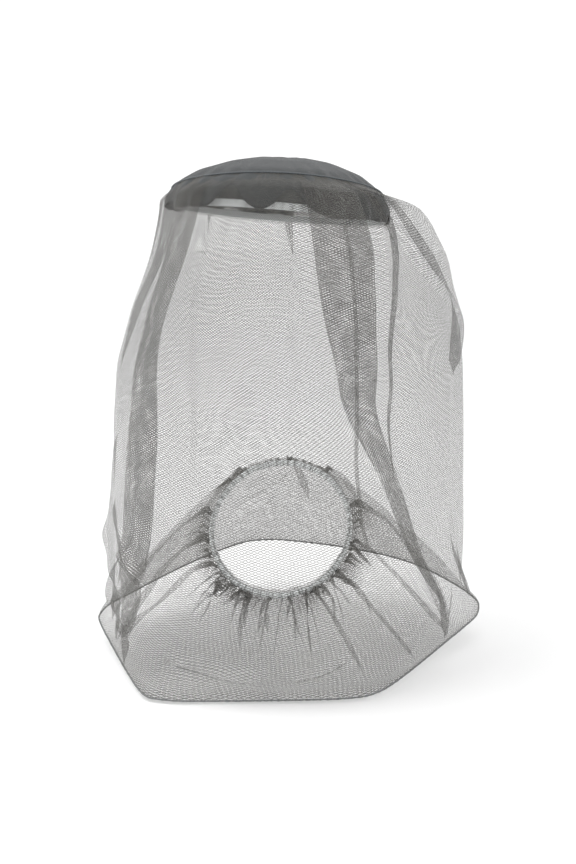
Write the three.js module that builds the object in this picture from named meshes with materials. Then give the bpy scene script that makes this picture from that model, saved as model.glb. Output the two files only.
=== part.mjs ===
// A beekeeper's head veil, as it stands around a wearer's head: an opaque crown cap, a sheer
// net that hangs from the cap and flares out over the shoulders, an under-skirt of the same net
// that comes back in to the neck, and an elastic band that closes it there.
//
// Millimetres, +Z up, the face towards -Y. The origin is on the inside of the crown's top, where
// the wearer's head carries the veil. Every angle is a polar angle about the Z axis, in radians:
// the wearer's left ear is at 0, the back of the head at PI / 2 and the face at -PI / 2.
import * as THREE from "three";

const { sin, cos, exp, hypot, min, max, PI } = Math;
const degrees = THREE.MathUtils.degToRad;

// Driving dimensions
const CROWN_HALF_WIDTH = 71; // the cap over the temples
const CROWN_HALF_DEPTH = 86; // the cap from its middle to the forehead
const CROWN_ROUNDNESS = 2.1; // exponent of the dome's superellipse
const CLOTH = 1.0; // thickness that stands for every layer of cloth
const GAP = 0.4; // between layers that touch
const HEM_DEPTH = 35; // mean depth of the cap's lower edge below the crown's top
const HEM_FALL = { x: -0.046, y: -0.056 }; // how the cap sits askew on the head
const SEAM_DEPTH = 22; // mean depth of the seam that carries the net
const SEAM_FALL = { x: 0.05, y: -0.11 };
const BELLY_RADIUS = 122.5; // the net at cheek height
const BELLY_SHIFT = 6.5; // how far it hangs out behind
const BELLY_ANGLE = degrees(75); // the way that it is shifted
const VEIL_DROP = 342; // from the crown's top down to the lowest edge
const NECK_RADIUS = 48; // plan radius of the neck band
const NECK_DEPTH = 250; // its middle below the crown's top
const NECK_FALL = 36; // how far its throat side dips below its middle
const NECK_FALL_ANGLE = degrees(-66);
const HEM_TAPE_HEIGHT = 13; // the sheer casing inside the cap's edge
const HEM_TAPE_SHOWS = 4; // of it, below the cap
const FLAT_ELASTIC = { thick: 1.0, high: 6 };
const CORD_ELASTIC_RADIUS = 1.2;
const CASING_RADIUS = 2.4; // outside of the gathered tube round the neck elastic
const CASING_WALL = 0.7;
const CASING_SLIT = degrees(50); // left open between the casing's two edges
const FRILL = { high: 4, waves: 20, sway: 0.9, segments: 80 };
const STITCH_RADIUS = 0.9; // overlocked seam
const BACK_SEAM_WIDTH = 4;

const RINGS = { crown: 36, net: 48, neck: 36 }; // segments round each piece

const CLOTH_COLOUR = 0x767c7f;
const materials = {
  crown_cloth: cloth(CLOTH_COLOUR, 0.85),
  net: cloth(0x9a9c9a, 0.8),
  seam_thread: cloth(0x6b6f70, 0.75),
  elastic: cloth(0xc9c8c2, 0.6),
};

function cloth(color, roughness) {
  return new THREE.MeshStandardMaterial({ color, roughness, metalness: 0 });
}

// ---- the curves that the pieces follow ----

// Polar radius of the cap's plan.
function crownRadius(angle) {
  return (
    (CROWN_HALF_WIDTH * CROWN_HALF_DEPTH) /
    hypot(CROWN_HALF_DEPTH * cos(angle), CROWN_HALF_WIDTH * sin(angle))
  );
}

// Height of a plane that leans by fall, above the cap's outline.
function leaning(depth, fall, angle) {
  const radius = crownRadius(angle);
  return -depth + fall.x * radius * cos(angle) + fall.y * radius * sin(angle);
}

const hemHeight = (angle) => leaning(HEM_DEPTH, HEM_FALL, angle);
const seamHeight = (angle) => leaning(SEAM_DEPTH, SEAM_FALL, angle);

// Radius of the inside of the cap at a height: the dome above the hem, and straight below it.
function domeRadius(angle, height) {
  const share = max(0, 1 - height / hemHeight(angle));
  return crownRadius(angle) * max(0, 1 - share ** CROWN_ROUNDNESS) ** (1 / CROWN_ROUNDNESS);
}

// The lower edge is a polygon with soft corners, the creases of a folded bag. Each side is
// given by the way that it faces and its distance from the axis.
const EDGE_SIDES = [
  { faces: degrees(-60), distance: 92 }, // across the chest
  { faces: degrees(-9), distance: 101 }, // over the left shoulder
  { faces: degrees(28), distance: 152 },
  { faces: degrees(62), distance: 152 },
  { faces: degrees(95), distance: 150 }, // down the back
  { faces: degrees(167), distance: 130 },
  { faces: degrees(230), distance: 114 }, // over the right shoulder
];
const EDGE_SHARPNESS = 22;
const EDGE_RISE = 40; // the edge is that much higher down the back
const EDGE_LOWEST_ANGLE = degrees(-68);
const EDGE_CURL = 1.6; // how late the rise sets in

function edgeRadius(angle) {
  const sum = EDGE_SIDES.reduce(
    (total, side) =>
      total + max(0, cos(angle - side.faces) / side.distance) ** EDGE_SHARPNESS,
    0,
  );
  return sum ** (-1 / EDGE_SHARPNESS);
}

function edgeHeight(angle) {
  const share = (1 - cos(angle - EDGE_LOWEST_ANGLE)) / 2;
  return -VEIL_DROP + EDGE_RISE * share ** EDGE_CURL;
}

// The neck band lies in a plane that dips towards the throat. Its plan is a circle.
const neckHeight = (angle, radius) =>
  -NECK_DEPTH - (NECK_FALL / NECK_RADIUS) * radius * cos(angle - NECK_FALL_ANGLE);

// ---- the cloth surfaces, as radius and height at an angle ----

const PUFF_ANGLE = degrees(45); // where the net stands furthest off the head
const FLARE_HEIGHT = 60; // the last stretch, where the net spreads to its edge
const FLARE_CURL = 1.3;
const SKIRT_CURL = 1.5; // above 1, the under-skirt leaves the neck level and falls towards its edge

// How far below the seam the net has spread, and how late that sets in: opposite the puff, and
// how much less at it.
const SPREAD_REACH = { slack: 80, puffed: 49 };
const SPREAD_BEND = { slack: 2.4, puffed: 1.5 };

// The outer face of the net, from the seam at share 0 to the lower edge at share 1.
function netSurface(angle, share) {
  const top = seamHeight(angle) - 2 * STITCH_RADIUS - GAP;
  const bottom = edgeHeight(angle) + 2 * STITCH_RADIUS + GAP;
  const height = top + (bottom - top) * share;
  const puff = (1 + cos(angle - PUFF_ANGLE)) / 2;
  const belly = BELLY_RADIUS + BELLY_SHIFT * cos(angle - BELLY_ANGLE);
  const reach = SPREAD_REACH.slack - SPREAD_REACH.puffed * puff;
  const bend = SPREAD_BEND.slack - SPREAD_BEND.puffed * puff;
  const spread = 1 - exp(-(((top - height) / reach) ** bend));
  const off = 2 * CLOTH + 5 * GAP; // clear of the cap, even where the dome slopes
  const clear = domeRadius(angle, min(height, 0)) + off;
  const flare = max(0, 1 - (height - bottom) / FLARE_HEIGHT) ** FLARE_CURL;
  const bellied = clear + (belly - crownRadius(angle) - off) * spread;
  return [bellied + (edgeRadius(angle) - bellied) * flare, height];
}

// The upper face of the under-skirt, from the neck at share 0 to the lower edge at share 1.
function skirtSurface(angle, share) {
  const inner = NECK_RADIUS + CASING_RADIUS + 2 * GAP;
  const outer = edgeRadius(angle) - STITCH_RADIUS - GAP - CLOTH;
  const top = neckHeight(angle, inner);
  const bottom = edgeHeight(angle) + STITCH_RADIUS + CLOTH / 2;
  return [inner + (outer - inner) * share, top + (bottom - top) * share ** SKIRT_CURL];
}

// ---- solids ----

// A solid that goes once round the Z axis. section is a closed outline of [across, along]
// points, and place gives the radius and height that such a point has at an angle.
function ring(section, segments, place) {
  const outline = [...section, section[0]].map((p) => new THREE.Vector2(p[0], p[1]));
  const geometry = new THREE.LatheGeometry(outline, segments);
  const position = geometry.getAttribute("position");
  for (let i = 0; i < position.count; i++) {
    // The lathe turns its outline about the Y axis.
    const [x, along, z] = [position.getX(i), position.getY(i), position.getZ(i)];
    const angle = Math.atan2(-z, x);
    const [radius, height] = place(angle, hypot(x, z), along);
    position.setXYZ(i, radius * cos(angle), radius * sin(angle), height);
  }
  return geometry;
}

// Levels from 0 to 1, close together near both ends.
function easedShares(levels) {
  return Array.from({ length: levels + 1 }, (_, i) => (1 - cos((PI * i) / levels)) / 2);
}

// The outline of a sheet: its two faces, from share 0 to share 1. across is LIFT on one face
// and LIFT - CLOTH on the other.
const LIFT = 10;
function sheetSection(levels) {
  const shares = easedShares(levels);
  return [
    ...shares.map((share) => [LIFT - CLOTH, share]),
    ...shares.reverse().map((share) => [LIFT, share]),
  ];
}

function circle(radius, sides) {
  return Array.from({ length: sides }, (_, i) => [
    radius * cos((2 * PI * i) / sides),
    radius * sin((2 * PI * i) / sides),
  ]);
}

const FAR = 20; // keeps a section clear of the axis until place() moves it out
const moved = (section) => section.map(([across, along]) => [across + FAR, along]);

// A round cord that follows a closed curve.
function cordRing(radius, sides, segments, curve) {
  return ring(moved(circle(radius, sides)), segments, (angle, across, along) => {
    const [middle, height] = curve(angle);
    return [middle + across - FAR, height + along];
  });
}

// ---- the crown ----

function crownCap() {
  return ring(sheetSection(8), RINGS.crown, (angle, across, share) => {
    const turn = (PI / 2) * (1 - share);
    const lift = across - LIFT + CLOTH;
    const radius = crownRadius(angle) * cos(turn) ** (2 / CROWN_ROUNDNESS);
    const height = hemHeight(angle) * (1 - sin(turn) ** (2 / CROWN_ROUNDNESS));
    return [radius + lift * cos(turn), height + lift * sin(turn)];
  });
}

// A tape folded up into a channel, open at the top, that the flat elastic lies in.
const TAPE_WALL = 0.5;
const CHANNEL = FLAT_ELASTIC.thick + 2 * GAP;

// It stands upright just inside the dome.
function insideHem(angle, across, along) {
  const bottom = hemHeight(angle) - HEM_TAPE_SHOWS;
  const outside = domeRadius(angle, bottom + HEM_TAPE_HEIGHT) - 2 * GAP;
  return [outside + across - FAR, bottom + along];
}

function crownHemTape() {
  const depth = 2 * TAPE_WALL + CHANNEL;
  const section = [
    [0, 0],
    [0, HEM_TAPE_HEIGHT],
    [-TAPE_WALL, HEM_TAPE_HEIGHT],
    [-TAPE_WALL, TAPE_WALL],
    [-TAPE_WALL - CHANNEL, TAPE_WALL],
    [-TAPE_WALL - CHANNEL, HEM_TAPE_HEIGHT * 0.7],
    [-depth, HEM_TAPE_HEIGHT * 0.7],
    [-depth, 0],
  ];
  return ring(moved(section), RINGS.crown, insideHem);
}

function crownElastic() {
  const outer = -TAPE_WALL - GAP;
  const low = TAPE_WALL + GAP;
  const section = [
    [outer, low],
    [outer, low + FLAT_ELASTIC.high],
    [outer - FLAT_ELASTIC.thick, low + FLAT_ELASTIC.high],
    [outer - FLAT_ELASTIC.thick, low],
  ];
  return ring(moved(section), RINGS.crown, insideHem);
}

// The stitched ridge where the net is gathered on to the cap.
function crownSeam() {
  return cordRing(STITCH_RADIUS, 5, RINGS.crown, (angle) => {
    const height = seamHeight(angle);
    const under = domeRadius(angle, height - 2 * STITCH_RADIUS);
    return [under + CLOTH + GAP + STITCH_RADIUS, height];
  });
}

// ---- the net ----

const NET_LEVELS = 12;

function veilNet() {
  return ring(sheetSection(NET_LEVELS), RINGS.net, (angle, across, share) => {
    const [radius, height] = netSurface(angle, share);
    return [radius + across - LIFT, height];
  });
}

// The upright seam down the middle of the back that closes the net into a tube: a narrow strip
// on the inside of the net.
function backSeam() {
  const inside = easedShares(NET_LEVELS)
    .slice(1, -1)
    .map((share) => netSurface(PI / 2, share))
    .map(([radius, height]) => new THREE.Vector2(radius - CLOTH - 2 * GAP, height));
  const outside = inside.map((p) => new THREE.Vector2(p.x - CLOTH, p.y)).reverse();
  // The outline's X and Y become the part's Y and Z.
  return new THREE.ExtrudeGeometry(new THREE.Shape([...inside, ...outside]), {
    depth: BACK_SEAM_WIDTH,
    bevelEnabled: false,
  })
    .rotateX(PI / 2)
    .rotateZ(PI / 2)
    .translate(-BACK_SEAM_WIDTH / 2, 0, 0);
}

// The overlocked edge that joins the net to the under-skirt.
function edgeSeam() {
  return cordRing(STITCH_RADIUS, 5, RINGS.net, (angle) => [
    edgeRadius(angle),
    edgeHeight(angle) + STITCH_RADIUS,
  ]);
}

function skirtNet() {
  return ring(sheetSection(6), RINGS.net, (angle, across, share) => {
    const [radius, height] = skirtSurface(angle, share);
    return [radius, height + across - LIFT];
  });
}

// ---- the neck band, in its own plane: X towards the throat, which is the way that it dips ----

const NECK_TILT = Math.atan(NECK_FALL / NECK_RADIUS);

// The band is a circle in plan, so in its own plane it is longer towards the throat.
function bandRadius(angle) {
  return NECK_RADIUS / hypot(cos(angle) * cos(NECK_TILT), sin(angle));
}

// A gathered tube of net, slit along its under side between the two stitched edges.
function neckCasing() {
  const sides = 8;
  const turns = Array.from(
    { length: sides + 1 },
    (_, i) => -PI / 2 + CASING_SLIT / 2 + ((2 * PI - CASING_SLIT) * i) / sides,
  );
  const arc = (radius) => turns.map((turn) => [radius * cos(turn), radius * sin(turn)]);
  const section = [...arc(CASING_RADIUS), ...arc(CASING_RADIUS - CASING_WALL).reverse()];
  return ring(moved(section), RINGS.neck, (angle, across, along) => [
    bandRadius(angle) + across - FAR,
    along,
  ]);
}

function neckElastic() {
  return cordRing(CORD_ELASTIC_RADIUS, 6, RINGS.neck, (angle) => [bandRadius(angle), 0]);
}

// The raw edge of the casing, puckered by the elastic, that stands up round the throat.
function neckFrill() {
  const section = [
    [0, 0],
    [0, FRILL.high],
    [-CLOTH, FRILL.high],
    [-CLOTH, 0],
  ];
  return ring(moved(section), FRILL.segments, (angle, across, along) => {
    const sway = FRILL.sway * sin(FRILL.waves * angle) * (along / FRILL.high);
    return [bandRadius(angle) + across - FAR + sway, CASING_RADIUS + GAP + along];
  });
}

// ---- assembly ----

function piece(name, geometry, material) {
  const mesh = new THREE.Mesh(geometry, materials[material]);
  mesh.name = name;
  return mesh;
}

const crown = new THREE.Group();
crown.add(
  piece("crown_cap", crownCap(), "crown_cloth"),
  piece("crown_hem_tape", crownHemTape(), "net"),
  piece("crown_elastic", crownElastic(), "elastic"),
  piece("crown_seam", crownSeam(), "seam_thread"),
);

const net = new THREE.Group();
net.add(
  piece("veil_net", veilNet(), "net"),
  piece("back_seam", backSeam(), "seam_thread"),
  piece("edge_seam", edgeSeam(), "seam_thread"),
  piece("skirt_net", skirtNet(), "net"),
);

const neckBand = new THREE.Group();
neckBand.position.z = -NECK_DEPTH;
neckBand.rotation.set(0, NECK_TILT, NECK_FALL_ANGLE, "ZYX");
neckBand.add(
  piece("neck_casing", neckCasing(), "net"),
  piece("neck_elastic", neckElastic(), "elastic"),
  piece("neck_frill", neckFrill(), "net"),
);

const veil = new THREE.Group();
veil.add(crown, net, neckBand);

export default veil;
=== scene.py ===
"""The looks of a beekeeper's veil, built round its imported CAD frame.

The net, the under-skirt and the cap are sheets of cloth laid over the CAD solids that they replace.
Each is a grid: columns run round the head by polar angle, and rows run down the cloth. A fold takes
a stretch of the cloth's own width and lays it to and fro, so a folded place really is three layers
of net. Metres, +Z up, the face towards -Y, the wearer's left ear at angle 0.
"""

import math

import bmesh
import bpy
import numpy as np
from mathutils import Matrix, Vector
from mathutils.bvhtree import BVHTree


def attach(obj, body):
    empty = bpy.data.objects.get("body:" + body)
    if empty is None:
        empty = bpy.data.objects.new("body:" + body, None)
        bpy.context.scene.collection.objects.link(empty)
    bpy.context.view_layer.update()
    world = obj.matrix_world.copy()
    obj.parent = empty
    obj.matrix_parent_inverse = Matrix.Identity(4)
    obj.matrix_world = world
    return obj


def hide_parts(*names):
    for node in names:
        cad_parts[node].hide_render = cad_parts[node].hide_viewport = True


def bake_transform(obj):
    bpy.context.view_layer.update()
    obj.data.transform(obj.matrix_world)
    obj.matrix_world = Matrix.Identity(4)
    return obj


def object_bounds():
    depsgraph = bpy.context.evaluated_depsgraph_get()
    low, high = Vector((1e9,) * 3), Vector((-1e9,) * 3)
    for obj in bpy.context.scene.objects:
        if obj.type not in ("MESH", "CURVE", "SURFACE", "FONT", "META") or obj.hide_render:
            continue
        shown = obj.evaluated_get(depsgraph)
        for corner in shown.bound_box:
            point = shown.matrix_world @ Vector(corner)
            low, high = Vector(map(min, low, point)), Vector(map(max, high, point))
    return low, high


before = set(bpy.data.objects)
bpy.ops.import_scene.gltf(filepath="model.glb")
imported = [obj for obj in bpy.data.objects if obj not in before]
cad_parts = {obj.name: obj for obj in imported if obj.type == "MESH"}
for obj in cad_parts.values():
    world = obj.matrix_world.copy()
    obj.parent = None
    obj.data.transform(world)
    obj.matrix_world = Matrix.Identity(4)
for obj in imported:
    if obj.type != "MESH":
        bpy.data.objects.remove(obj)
cad_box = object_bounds()

MM = 0.001
TURN = 2 * math.pi
BACK = math.pi / 2  # the polar angle of the back seam, where every sheet begins and ends

# ---- driving dimensions ----

# The camera stands at the wearer's front left, a little below the crown's top.
CAMERA = {"azimuth": 28, "pitch": 9.1, "distance": 0.816, "height": -0.053, "aside": 0.005}
LENS = 50  # mm, on a 36 mm frame

NET_COLUMNS, NET_ROWS = 640, 240
SKIRT_COLUMNS, SKIRT_ROWS = 620, 56
CAP_COLUMNS, CAP_ROWS = 420, 56
CLOTH_WIDTH = 0.88  # the net's own width round the bag
# Each sheet's cloth laid flat, across and down. The cap's is cut as an oval.
TAPE_FLAT = (0.56, 0.013)
NET_THICKNESS = 0.25 * MM
NET_INSET = 2.8 * MM  # how far the net hangs inside the CAD net at its middle
SEAM_INSET = 0.8 * MM  # how deep its gathered edge sits in the cap
# One point in every step is simulated, and moves at most limit metres. The cloth is too big by a share,
# slack. broad and fine are the blurs, in points, of what is taken out and what is kept.
NET_SIMULATION = {"step": 3, "limit": 0.007, "slack": 0.03, "frames": 18, "broad": 16, "fine": (1.5, 2.5)}
# Light net: it bends easily and hardly stretches.
NET_CLOTH = {"quality": 6, "mass": 0.04, "tension_stiffness": 12, "compression_stiffness": 12,
             "shear_stiffness": 2, "bending_stiffness": 0.02, "air_damping": 2}
CAP_THICKNESS = 0.5 * MM
CAP_INSET = 0.6 * MM  # how far the cap's cloth lies inside the CAD cap's face
MESH_PITCH = 1.3 * MM  # between the net's threads
THREAD_SLANT = math.radians(30)  # either side of level: the holes are diamonds, wider than high
THREAD_SHARE = 0.095  # of the pitch that a thread covers
SKIRT_THREAD_SHARE = 0.03
THREAD_SOFTNESS = 0.2  # of the pitch, from a thread's middle to its hairy edge
THREAD_STRAY = 2 * MM  # how unevenly the net is stretched
STRAY_SCALE = 45.0  # how fine that unevenness is
HOLE_ROUNDNESS = 0.12  # of the pitch, at each corner of a hole
THREAD_UNEVENNESS = 0.08  # of the pitch, in a thread's thickness
GATHERED_THREADS = 0.16  # of the pitch, that a thread's half width gains where the cloth is gathered

# Waves across a sheet: the least and most round the head, and how high they stand. They lean by slant,
# in turns from its first row to its last, and stand between begin and end, in shares of the same way.
NET_GATHERS = {"count": (70, 130), "height": 0.8 * MM, "seed": 3, "end": (0, 0.085)}
NET_FLUTES = {"count": (24, 46), "height": 1.2 * MM, "seed": 5, "begin": (0, 0.03), "end": (0.02, 0.28)}
NET_SLACK = {"count": (5, 13), "height": 1.6 * MM, "seed": 8, "slant": 0.03}
NET_CRUMPLES = {"count": (9, 24), "height": 2.8 * MM, "seed": 12, "slant": 0.22,
                "begin": (0.6, 0.9), "end": (0.93, 1)}
SKIRT_SWELLS = {"count": (7, 17), "height": 3.0 * MM, "seed": 35, "slant": 0.05}
CAP_SCALLOPS = {"count": (14, 30), "height": 0.5 * MM, "seed": 61}
CAP_GATHERS = {"count": (20, 34), "height": 1.3 * MM, "seed": 62, "begin": (0.55, 1)}
CAP_CREASES = {"count": (6, 14), "height": 0.35 * MM, "seed": 63, "slant": 0.1}
CAP_SAG = {"count": (2, 5), "height": 0.7 * MM, "seed": 64, "slant": 0.05}
TAPE_GATHERS = {"count": (40, 90), "height": 0.5 * MM, "seed": 71}
EVERYWHERE = {"slant": 0, "begin": (-2, -1), "end": (2, 3)}
# A ripple adds up this many sine waves, the smallest this share of the largest. They partly cancel, so
# their sum is raised.
RIPPLE_WAVES, RIPPLE_LEAST, RIPPLE_GAIN = 9, 0.4, 1.8

# Shares of the way down over which the net leaves the crown seam and is drawn in to the lower edge, its
# folds open and close, and its gathers, which make its threads look thicker, end and begin again.
NET_LEAVES_SEAM, NET_MEETS_EDGE = (0, 0.035), (0.965, 1)
FOLDS_OPEN, FOLDS_CLOSE = (0, 0.05), (0.86, 1)
GATHERS_FADE, GATHERS_RETURN = (0, 0.03), (0.975, 1)
GATHERED_AT_SEAM, GATHERED_AT_EDGE = 0.8, 0.15
FOLD_ENDS = 0.25  # of a fold's depth, that is left at both seams
NET_ABOVE_SEAM = 0.6 * MM

# The net's folds, from the back seam round by the right ear. path is a list of (share of the way
# down, polar angle of the fold's middle, width of the overlap), the last two in degrees. depth is
# how far apart its layers stand, in mm, below 0 where its outer layer lies the other way.
FOLDS = [
    {"depth": 3.0, "path": [(0, -245, 6), (0.14, -247, 0), (0.5, -246, 0), (1, -240, 0)]},
    {"depth": -3.5, "path": [(0, -200, 7), (0.16, -203, 0), (0.5, -208, 0), (1, -205, 0)]},
    {"depth": 2.5, "path": [(0, -160, 8), (0.2, -163, 3), (0.4, -160, 0), (1, -150, 0)]},
    {"depth": -3.0,
     "path": [(0, -100, 13), (0.14, -103, 9), (0.3, -110, 8), (0.5, -113, 14), (0.7, -117, 16),
              (0.85, -122, 8), (1, -128, 0)]},
    {"depth": 3.0,
     "path": [(0, -40, 25), (0.15, -40, 21), (0.3, -40, 15), (0.42, -38, 10), (0.55, -29, 5),
              (0.75, -13, 2.5), (1, 20, 0)]},
    {"depth": -4.0,
     "path": [(0, -8, 11), (0.08, -6, 15), (0.15, 0, 18), (0.22, 12, 16), (0.28, 25, 11), (0.35, 34, 4),
              (0.4, 38, 0), (1, 44, 0)]},
    {"depth": 3.5,
     "path": [(0, 64, 10), (0.2, 72, 6), (0.4, 76, 4), (0.7, 76, 3), (1, 70, 0)]},
]

FOLD_SPREAD = 0.795  # of the overlap's width that a fold reaches to each side of its middle
FOLD_WANDER = 0.9  # degrees, by which a fold strays from its path
FOLD_BLUR = 0.018  # of the way down, over which its path is smoothed
LEAST_OVERLAP = 2.0  # degrees, under which a fold opens into a ripple
CHEEK = 0.35  # the share of the way down where the cloth's width is shared out between the folds
SEAM_TO_SEAM = (-270.0, 90.0)  # degrees, once round from the back seam

# Soft diagonal creases near the net's lower edge: each from (polar angle, share of the way down) to
# another, with its depth and half width in mm. They bow, fade at both ends, in shares of their own
# length, and stop short of the edge.
CREASE_BOW = 4 * MM
CREASE_ENDS = ((-0.25, 0), (0.7, 1.1))
CREASES_STOP = (0.95, 0.995)
NET_CREASES = [
    ((-148, 0.76), (-118, 0.94), 4.5, 6.0), ((-136, 0.68), (-108, 0.82), 4.0, 6.5),
    ((-95, 0.935), (-66, 0.955), 4.0, 6.0), ((-162, 0.58), (-143, 0.80), 4.5, 7.0),
    ((-56, 0.95), (-38, 0.89), 3.5, 4.5), ((-176, 0.84), (-154, 0.94), 4.5, 6.0),
    ((112, 0.74), (138, 0.88), 4.0, 6.0),
]

# The pleats at the neck band, the thin creases that run on from them, most of them near the face, and the
# broad folds that cross to the lower edge. Each crease or fold has a polar angle, how many degrees it
# bends in BEND_LENGTH, its length in mm and its half width in degrees.
BEND_LENGTH = 50 * MM
SKIRT_PLEATS = {"count": 72, "least": 1 * MM, "reach": 20 * MM, "height": 2.3 * MM,
                "swing": 1.5, "wander": 2.2}
SKIRT_CREASES = {"number": 52, "middle": -66, "spread": 38, "bend": 11,
                 "length": (14, 46), "width": (0.8, 1.7)}
SKIRT_FOLDS = [
    (45, -12, 95, 4.5), (-18, 19, 92, 4.0), (12, 8, 96, 4.5), (-38, 10, 60, 3.0),
    (-168, 8, 92, 5.0), (-122, -14, 88, 4.0), (-145, 0, 96, 5.0),
    (80, 4, 70, 5.0), (112, -4, 80, 5.0), (150, 4, 70, 5.0),
]
# Shares of the way in, and metres from the neck's elastic, over which creases and swells come up from the
# flat cloth. The cloth ends a little out from the elastic's middle, and below it.
SKIRT_FLAT_EDGE, LIFT_FROM_EDGE, LIFT_FROM_NECK = (0, 0.12), (0, 0.1), (0.5 * MM, 4 * MM)
SKIRT_END_OUT, SKIRT_END_DROP = 1.2 * MM, 1.8 * MM
SKIRT_DRAPED = ((0, 0.04), (0.93, 1))  # it leaves the straight line between its seams, and comes back
SKIRT_CROWDING = 0.8  # under 1, the cloth's rows are closer together at the neck
CREASE_OVERLAP = 2.3  # how far the under-skirt is drawn in across a crease, past 1 it lies double
NET_CREASE_OVERLAP = 1.2  # the same for the net
NET_REACH, NET_TALL = 0.13, 0.32  # the net's rough radius and height, for its creases' lengths

# The cap's opaque hem is drawn up in arches: each a polar angle and half width in degrees, and a rise
# in mm. The last is the broad rise of the rear hem.
HEM_ARCHES = [
    (-83, 6, 15), (-57, 7, 14), (-128, 7, 5), (178, 7, 7), (148, 8, 5),
    (104, 7, 8), (62, 8, 6), (22, 6, 4), (118, 36, 6),
]
CAP_HEART = -0.03  # the height from which the cap is measured
CAP_TILT = TURN / 4 * 1.06  # how far down the cap is measured, from straight up
CAP_CROWDING = 0.9  # under 1, the cap's rows are closer together at its hem
HEM_DROP = 3.2 * MM  # how far the opaque hem hangs below the CAD cap's, between its arches

# Cords, bands and rolls round the head: steps, half sizes, and ribs that stand proud by a share.
CASING = {"steps": 1200, "sides": 16, "half": 1.9 * MM, "tall": 1.12, "proud": 0.12}
NECK_CORD = {"steps": 1400, "half": 1.15 * MM, "ribs": 110, "proud": 0.1}
HEM_BAND = {"steps": 1800, "half": 0.4 * MM, "tall": 2.3 * MM, "ribs": 220, "proud": 0.25}
CROWN_ROLL = {"steps": 2000, "half": 0.4 * MM, "tall": 0.45 * MM, "ribs": 150, "proud": 0.22,
              "inset": 0.1 * MM}
EDGE_ROLL = {"steps": 2400, "half": 0.6 * MM, "proud": 0.18}
# The back seam stops short of both ends of the net by a few of its rows.
BACK_SEAM = {"half": 0.4 * MM, "wide": 1.6 * MM, "proud": 0.15, "wave": 1.3, "short": 4}
# The frill has count waves, and starts above the elastic's middle and out from it.
FRILL = {"steps": 1000, "rows": 8, "count": 62, "tall": 2.4 * MM, "above": 1.7 * MM, "out": 0.6 * MM,
         "cloth": (0.6, 0.006)}
TAPE_COLUMNS, TAPE_ROWS = 600, 8

# A ring-shaped CAD node is read at so many places round the head, for its middle or for one edge, and a
# band of points so tall counts as that edge.
MIDDLE_PLACES, EDGE_PLACES = 144, 72
CURVE_FINENESS = 10
EDGE_BAND = 1.6 * MM
# How finely the CAD solids under a sheet are measured, and how much of each end isn't.
MEASURED_COLUMNS, MEASURED_BLUR, MEASURED_MARGIN = 240, 2.0, 0.015
NET_PROBE_TOP, NET_PROBE_BOTTOM = 1.6 * MM, 1.8 * MM  # how far inside its two seams the net is measured

# Square soft lights, in degrees, metres and watts.
LIGHTS = {
    "key": {"azimuth": -50, "elevation": 50, "distance": 1.6, "size": 1.4, "energy": 12},
    "fill": {"azimuth": 70, "elevation": 25, "distance": 2.0, "size": 1.6, "energy": 4},
}
WORLD_STRENGTH = 1.12
LAYERS_SEEN_THROUGH = 96
FLOOR_SIZE, FLOOR_GAP = 60, 1 * MM  # the floor lies just below the veil

# ---- small helpers ----


def smooth(values, spread, axis=0, around=False):
    """Blurs values along an axis by a bell curve whose width is spread, in steps."""
    reach = max(1, int(3 * spread))
    weights = np.exp(-0.5 * (np.arange(-reach, reach + 1) / spread) ** 2)
    weights /= weights.sum()
    values = np.moveaxis(np.asarray(values, float), axis, 0)
    padding = [(reach, reach)] + [(0, 0)] * (values.ndim - 1)
    padded = np.pad(values, padding, mode="wrap" if around else "edge")
    blurred = sum(w * padded[i:i + len(values)] for i, w in enumerate(weights))
    return np.moveaxis(blurred, 0, axis)


def ripple(turns, lowest, highest, seed):
    """A periodic, irregular wave between -1 and 1. turns is 0 to 1 round the head."""
    draw = np.random.default_rng(seed)
    counts = draw.integers(lowest, highest + 1, RIPPLE_WAVES)
    phases = draw.random(RIPPLE_WAVES) * TURN
    sizes = RIPPLE_LEAST + (1 - RIPPLE_LEAST) * draw.random(RIPPLE_WAVES)
    total = sum(size * np.sin(TURN * count * turns + phase)
                for count, phase, size in zip(counts, phases, sizes))
    return total / sizes.sum() * RIPPLE_GAIN


def fade(x, start, end):
    """1 up to start, 0 from end on, and smooth between them."""
    t = np.clip((x - start) / (end - start), 0, 1)
    return 1 - t * t * (3 - 2 * t)


def between(x, begin, end):
    """0 before begin, 1 from there to end, and 0 after it, smooth through both."""
    return (1 - fade(x, *begin)) * fade(x, *end)


def wave(kind, turns, share):
    """How far one kind of wave stands out from a sheet, in metres."""
    kind = {**EVERYWHERE, **kind}
    height = kind["height"] * ripple(turns + kind["slant"] * share, *kind["count"], kind["seed"])
    return height * between(share, kind["begin"], kind["end"])


def turned_from(angle, other):
    """How far angle is round from other, between -PI and PI."""
    return np.angle(np.exp(1j * (angle - other)))


def columns_from(count):
    """The share of a turn at each column, from the back seam on."""
    return np.arange(count) / count


def sheet_grid(columns, shares):
    """Every point's share of a turn, share of the way down and polar angle, from the back seam on."""
    turns = columns_from(columns)[None, :] + 0 * shares[:, None]
    return turns, shares[:, None] + 0 * turns, BACK + turns * TURN


def outwards(angle, reach=1.0):
    """The vector that goes straight out from the axis at a polar angle."""
    return Vector((reach * math.cos(angle), reach * math.sin(angle), 0))


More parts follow.
